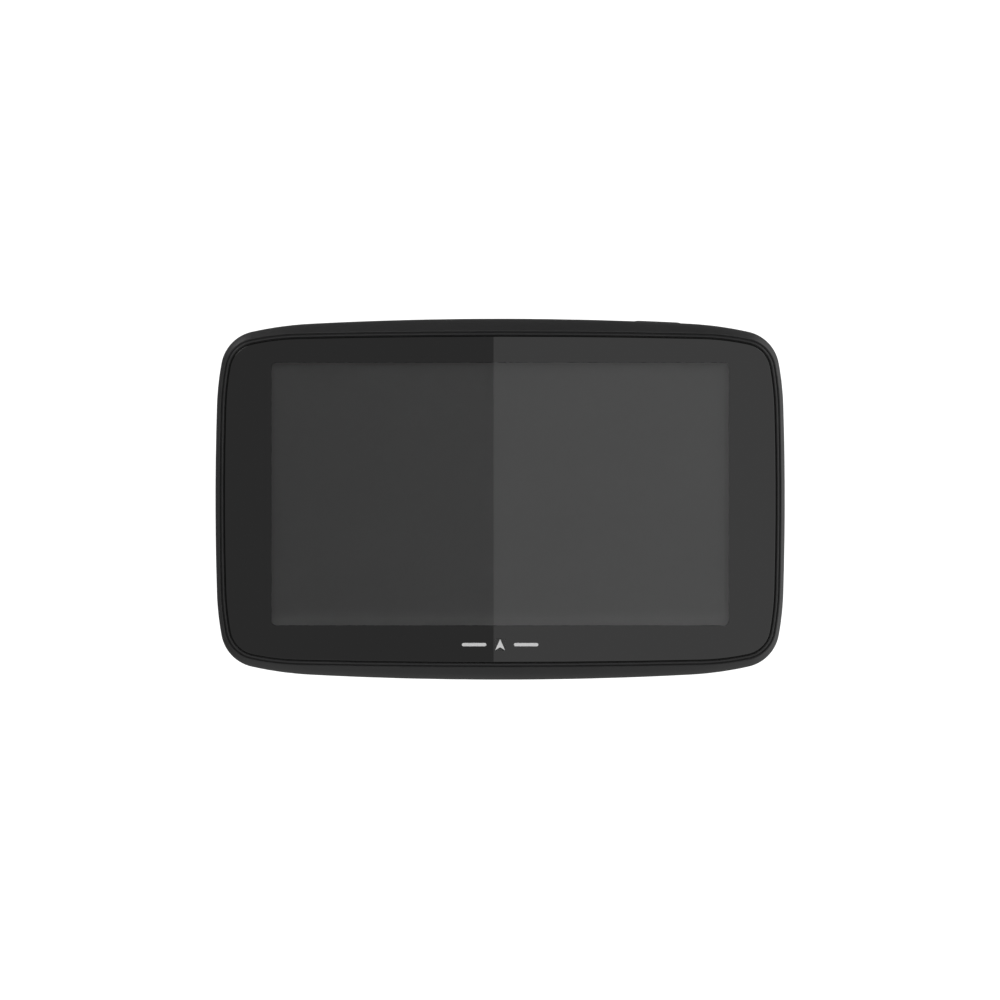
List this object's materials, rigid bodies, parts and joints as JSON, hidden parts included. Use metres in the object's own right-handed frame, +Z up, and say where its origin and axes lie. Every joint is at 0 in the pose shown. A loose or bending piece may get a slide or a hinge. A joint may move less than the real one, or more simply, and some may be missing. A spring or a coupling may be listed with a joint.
{
  "type": "portable gps navigator",
  "caption": "Slim in-car navigation unit: a flush black glass screen in a rounded satin-black two-shell casing, with a round dock recess, speaker grille and edge sockets.",
  "frame": {"origin": "centre of the dock's seat, the floor of the round recess in the back", "axes": "+X to the right and +Z up as the driver sees the screen; +Y from the screen to the back, out of the dock recess; the screen faces -Y"},
  "size_m": [0.1446, 0.0226, 0.0916],
  "materials": {
    "cover_glass": "clear glass that looks black over the dark border",
    "black_print": "black ink",
    "clear_film": "smoked clear film",
    "adhesive_foam": "black foam tape",
    "casing_black": "satin black moulding",
    "rim_black": "smooth satin black",
    "panel_grey": "dark grey anti-glare display glass",
    "acrylic": "clear moulded acrylic",
    "thin_steel": "bright pressed steel",
    "flex_amber": "amber film with copper tracks",
    "connector_ivory": "ivory moulding",
    "screw_black": "black oxide",
    "screw_steel": "zinc plated",
    "grille_black": "satin black coated sheet",
    "mesh_black": "fine woven mesh",
    "speaker_black": "black moulding",
    "cone_film": "dark formed film",
    "magnet_nickel": "nickel plated",
    "wire_black": "black insulation",
    "wire_red": "red insulation",
    "contact_black": "black insulator",
    "gold": "gilded",
    "chassis_grey": "satin pressed alloy",
    "board_green": "green lacquered laminate",
    "chip_black": "moulded epoxy",
    "capacitor_tan": "tan ceramic",
    "antenna_ceramic": "cream ceramic",
    "silver": "fired silver",
    "battery_foil": "silver laminated pouch",
    "switch_steel": "plated switch body",
    "plunger_white": "white moulding",
    "led_white": "white moulding",
    "boot_rubber": "soft black rubber",
    "usb_steel": "bright plated steel",
    "card_black": "black moulding"
  },
  "bodies": {
    "casing": {"cover_glass": "cover_glass", "border_mask": "black_print", "touch_film": "clear_film", "lens_tape": "adhesive_foam", "tray_foam": "adhesive_foam", "speaker_gasket": "adhesive_foam", "battery_pad": "adhesive_foam", "front_shell": "casing_black", "rear_cover": "casing_black", "front_bezel": "rim_black", "dock_cup": "rim_black", "lcd_cell": "panel_grey", "light_guide": "acrylic", "light_pipe": "acrylic", "lcd_tray": "thin_steel", "processor_shield": "thin_steel", "radio_shield": "thin_steel", "card_socket": "thin_steel", "magnet_keeper": "thin_steel", "display_flex": "flex_amber", "touch_flex": "flex_amber", "flex_connectors": "connector_ivory", "wire_sockets": "connector_ivory", "rear_screws": "screw_black", "board_screws": "screw_steel", "speaker_grille": "grille_black", "speaker_mesh": "mesh_black", "speaker_frame": "speaker_black", "microphone": "speaker_black", "speaker_cone": "cone_film", "speaker_magnet": "magnet_nickel", "dock_magnets": "magnet_nickel", "speaker_leads": "wire_black", "dock_leads": "wire_black", "battery_leads": "wire_red", "contact_block": "contact_black", "usb_tongue": "contact_black", "contact_pads": "gold", "chassis": "chassis_grey", "main_board": "board_green", "processor": "chip_black", "memory_chips": "chip_black", "power_chip": "chip_black", "gps_receiver": "chip_black", "audio_chip": "chip_black", "coils": "chip_black", "capacitors": "capacitor_tan", "gps_patch": "antenna_ceramic", "radio_antenna": "antenna_ceramic", "gps_electrode": "silver", "battery": "battery_foil", "power_switch": "switch_steel", "reset_switch": "switch_steel", "status_led": "led_white", "mic_boot": "boot_rubber", "usb_socket": "usb_steel"},
    "power_key": {"power_button": "rim_black", "power_switch_plunger": "plunger_white"},
    "reset_plunger": {"reset_switch_plunger": "plunger_white"},
    "card": {"memory_card": "card_black"}
  },
  "joints": [
    {"name": "power_button_press", "type": "slide", "parent": "casing", "child": "power_key", "axis": [0, 0, -1], "range_m": [0, 0.00035], "stiffness_N_per_m": 1500, "springref_m": -0.0002},
    {"name": "reset_switch_press", "type": "slide", "parent": "casing", "child": "reset_plunger", "axis": [0, 0, 1], "range_m": [0, 0.0003], "stiffness_N_per_m": 1500, "springref_m": -0.0002},
    {"name": "memory_card_slide", "type": "slide", "parent": "casing", "child": "card", "axis": [0, 0, -1], "range_m": [-0.0008, 0.018]}
  ]
}
